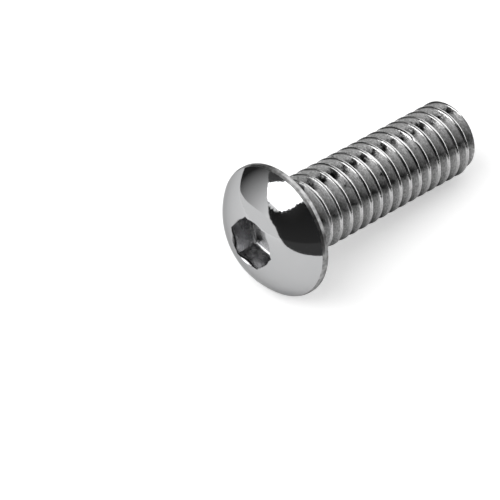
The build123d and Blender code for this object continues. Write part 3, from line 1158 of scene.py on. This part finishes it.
# %% The paint of the shade, in metres
SHADE_MIDDLE_Y = -0.0006
FADE_ACROSS = (0.0018, 0.0038)
FADE_ALONG = (-0.0105, -0.0045)


def shade_paint():
    """Dark paint whose cover falls to nothing away from the middle line and towards the head."""
    material = new_material("shade_paint")
    tree = material.node_tree
    place = add_node(tree, "ShaderNodeTexCoord")
    apart = add_node(tree, "ShaderNodeSeparateXYZ", {"Vector": place.outputs["Object"]})
    sideways = add_node(tree, "ShaderNodeMath", {0: apart.outputs["Y"], 1: -SHADE_MIDDLE_Y}, operation="ADD")
    off_middle = add_node(tree, "ShaderNodeMath", {0: sideways.outputs[0]}, operation="ABSOLUTE")
    across_fade = add_node(tree, "ShaderNodeMapRange", {
        "Value": off_middle.outputs[0], "From Min": FADE_ACROSS[0], "From Max": FADE_ACROSS[1],
        "To Min": 1.0, "To Max": 0.0,
    })
    along_fade = add_node(tree, "ShaderNodeMapRange", {
        "Value": apart.outputs["X"], "From Min": FADE_ALONG[0], "From Max": FADE_ALONG[1],
    })
    cover = add_node(tree, "ShaderNodeMath", {
        0: across_fade.outputs["Result"], 1: along_fade.outputs["Result"],
    }, operation="MULTIPLY")
    clear = add_node(tree, "ShaderNodeBsdfTransparent")
    dark = add_node(tree, "ShaderNodeEmission", {"Color": linear("#1C1C1C")})
    mixed = add_node(tree, "ShaderNodeMixShader", {
        0: cover.outputs[0], 1: clear.outputs[0], 2: dark.outputs[0],
    })
    add_node(tree, "ShaderNodeOutputMaterial", {"Surface": mixed.outputs[0]})
    return material


shade_finish = shade_paint()
print(shade_finish.name, "has", len(shade_finish.node_tree.nodes), "nodes")

# %% The shade right under the screw, in metres
SHADE_HEIGHT = 0.0003
SHADE_X = (-0.0110, 0.0150)
SHADE_Y = (-0.0046, 0.0034)
shade_mesh = bpy.data.meshes.new("shade_under_screw")
shade_corners = [
    (SHADE_X[0], SHADE_Y[0]), (SHADE_X[1], SHADE_Y[0]), (SHADE_X[1], SHADE_Y[1]), (SHADE_X[0], SHADE_Y[1]),
]
shade_mesh.from_pydata([(x, y, SHADE_HEIGHT) for x, y in shade_corners], [], [(0, 1, 2, 3)])
shade_mesh.materials.append(shade_finish)
shade = bpy.data.objects.new("shade_under_screw", shade_mesh)
bpy.context.scene.collection.objects.link(shade)
only_in_mirrors(shade)
print("shade under the screw, length in mm", round((SHADE_X[1] - SHADE_X[0]) * MM, 1))

# %% [markdown]
# ## The paper
#
# The screw lies on smooth white paper. Under the lamps the paper is a plain diffuse white that
# takes the screw's shadow; a little light of its own, seen only by the camera and in
# reflections, lifts it to the clean white of the photograph.

# %% The paper floor
PAPER_HALF = 2
LIFT_IN_CAMERA = 0.42
LIFT_IN_MIRRORS = 0.1


def white_paper():
    """Matte white plus a light of its own for the rays of the camera, of mirrors and of glass."""
    material = new_material("white_paper")
    tree = material.node_tree
    ray = add_node(tree, "ShaderNodeLightPath")
    indirect = add_node(tree, "ShaderNodeMath", {
        0: ray.outputs["Is Glossy Ray"], 1: ray.outputs["Is Transmission Ray"],
    }, operation="MAXIMUM")
    mirrored = add_node(tree, "ShaderNodeMath", {
        0: indirect.outputs[0], 1: LIFT_IN_MIRRORS,
    }, operation="MULTIPLY")
    direct = add_node(tree, "ShaderNodeMath", {
        0: ray.outputs["Is Camera Ray"], 1: LIFT_IN_CAMERA,
    }, operation="MULTIPLY")
    own = add_node(tree, "ShaderNodeMath", {
        0: mirrored.outputs[0], 1: direct.outputs[0],
    }, operation="MAXIMUM")
    matte = add_node(tree, "ShaderNodeBsdfDiffuse", {"Color": linear("#E4E4E4")})
    lift = add_node(tree, "ShaderNodeEmission", {"Color": linear("#FFFFFF"), "Strength": own.outputs[0]})
    both = add_node(tree, "ShaderNodeAddShader", {0: matte.outputs[0], 1: lift.outputs[0]})
    add_node(tree, "ShaderNodeOutputMaterial", {"Surface": both.outputs[0]})
    return material


paper_corners = [(x * PAPER_HALF, y * PAPER_HALF, 0) for x, y in ((-1, -1), (1, -1), (1, 1), (-1, 1))]
floor_mesh = bpy.data.meshes.new("paper")
floor_mesh.from_pydata(paper_corners, [], [(0, 1, 2, 3)])
floor_mesh.materials.append(white_paper())
floor = bpy.data.objects.new("paper", floor_mesh)
bpy.context.scene.collection.objects.link(floor)
print("paper, side in metres", 2 * PAPER_HALF)

# %% [markdown]
# ## Light
#
# The room is white all round, like a light tent: it fills every shadow a little, and the camera
# and the mirrors see it at full white. One large soft lamp above and behind gives the white
# field on the dome. Its radiance is named rather than its power, so it can change its size
# without getting brighter.

# %% The room's light
ROOM_LIGHT = 0.6
world = bpy.data.worlds.new("room")
world.use_nodes = True
bpy.context.scene.world = world
room = world.node_tree
room.nodes.clear()
ray = add_node(room, "ShaderNodeLightPath")
first_two = add_node(room, "ShaderNodeMath", {
    0: ray.outputs["Is Camera Ray"], 1: ray.outputs["Is Glossy Ray"],
}, operation="MAXIMUM")
seen = add_node(room, "ShaderNodeMath", {
    0: first_two.outputs[0], 1: ray.outputs["Is Transmission Ray"],
}, operation="MAXIMUM")
level = add_node(room, "ShaderNodeMapRange", {"Value": seen.outputs[0], "To Min": ROOM_LIGHT, "To Max": 1.0})
sky = add_node(room, "ShaderNodeBackground", {
    "Color": linear("#FFFFFF"), "Strength": level.outputs["Result"],
})
add_node(room, "ShaderNodeOutputWorld", {"Surface": sky.outputs[0]})
print("the room lights the screw at", ROOM_LIGHT, "of white")

# %% The soft lamp above and behind
def direction(azimuth, elevation):
    """Unit vector (cos e cos a, cos e sin a, sin e) of an azimuth a and an elevation e in degrees."""
    a, e = math.radians(azimuth), math.radians(elevation)
    return Vector((math.cos(e) * math.cos(a), math.cos(e) * math.sin(a), math.sin(e)))


def soft_lamp(name, azimuth, elevation, distance, width, height, radiance):
    """A rectangular lamp that faces the head; its power is radiance * pi * area."""
    data = bpy.data.lights.new(name, "AREA")
    data.shape = "RECTANGLE"
    data.size, data.size_y = width, height
    data.energy = radiance * math.pi * width * height
    towards = direction(azimuth, elevation)
    lamp = bpy.data.objects.new(name, data)
    lamp.location = Vector(HEAD_CENTRE) + distance * towards
    lamp.rotation_euler = (-towards).to_track_quat("-Z", "Y").to_euler()
    lamp.visible_camera = False
    bpy.context.scene.collection.objects.link(lamp)
    return lamp


soft_box = soft_lamp(
    "soft_box", azimuth=167, elevation=54, distance=0.65, width=0.70, height=0.52, radiance=2.6,
)
print("soft box of", round(soft_box.data.energy, 2), "watts")

# %% [markdown]
# ## The camera
#
# The camera looks down on the lying screw from the side of its head, as in the photograph, with
# a long lens. It is aimed so that a point of the shank, 8 mm below the head, falls on the same
# pixel as in the photograph; the aim is a small turn of the whole camera, with no lens shift.

# %% The camera, with the aim's place and the focal length in pixels of the photograph
PHOTO_WIDTH = 500
FOCAL_PIXELS = 2623.6
SENSOR_WIDTH = 36
CAMERA_DISTANCE = 0.25717
CLIP_START = 0.01
AIM_BELOW_HEAD = 8
AIM_X = 335.32
AIM_Y = 197.55
target = Vector((underside - AIM_BELOW_HEAD * axis_head) / 1000)
back = direction(azimuth=-135.93, elevation=40.81)
across = Vector((0, 0, 1)).cross(back).normalized()
level_view = Matrix((across, back.cross(across), back)).transposed()
aim_at = Vector((
    (AIM_X - PHOTO_WIDTH / 2) / FOCAL_PIXELS, (PHOTO_WIDTH / 2 - AIM_Y) / FOCAL_PIXELS, -1,
)).normalized()
small_turn = aim_at.rotation_difference(Vector((0, 0, -1))).to_matrix()
camera_data = bpy.data.cameras.new("camera")
camera_data.sensor_width = SENSOR_WIDTH
camera_data.lens = FOCAL_PIXELS * SENSOR_WIDTH / PHOTO_WIDTH
camera_data.clip_start = CLIP_START
camera = bpy.data.objects.new("camera", camera_data)
camera.matrix_world = Matrix.Translation(target + CAMERA_DISTANCE * back) @ (level_view @ small_turn).to_4x4()
bpy.context.scene.collection.objects.link(camera)
bpy.context.scene.camera = camera
bpy.context.scene.view_settings.view_transform = "Standard"
print("lens in mm", round(camera_data.lens, 1))
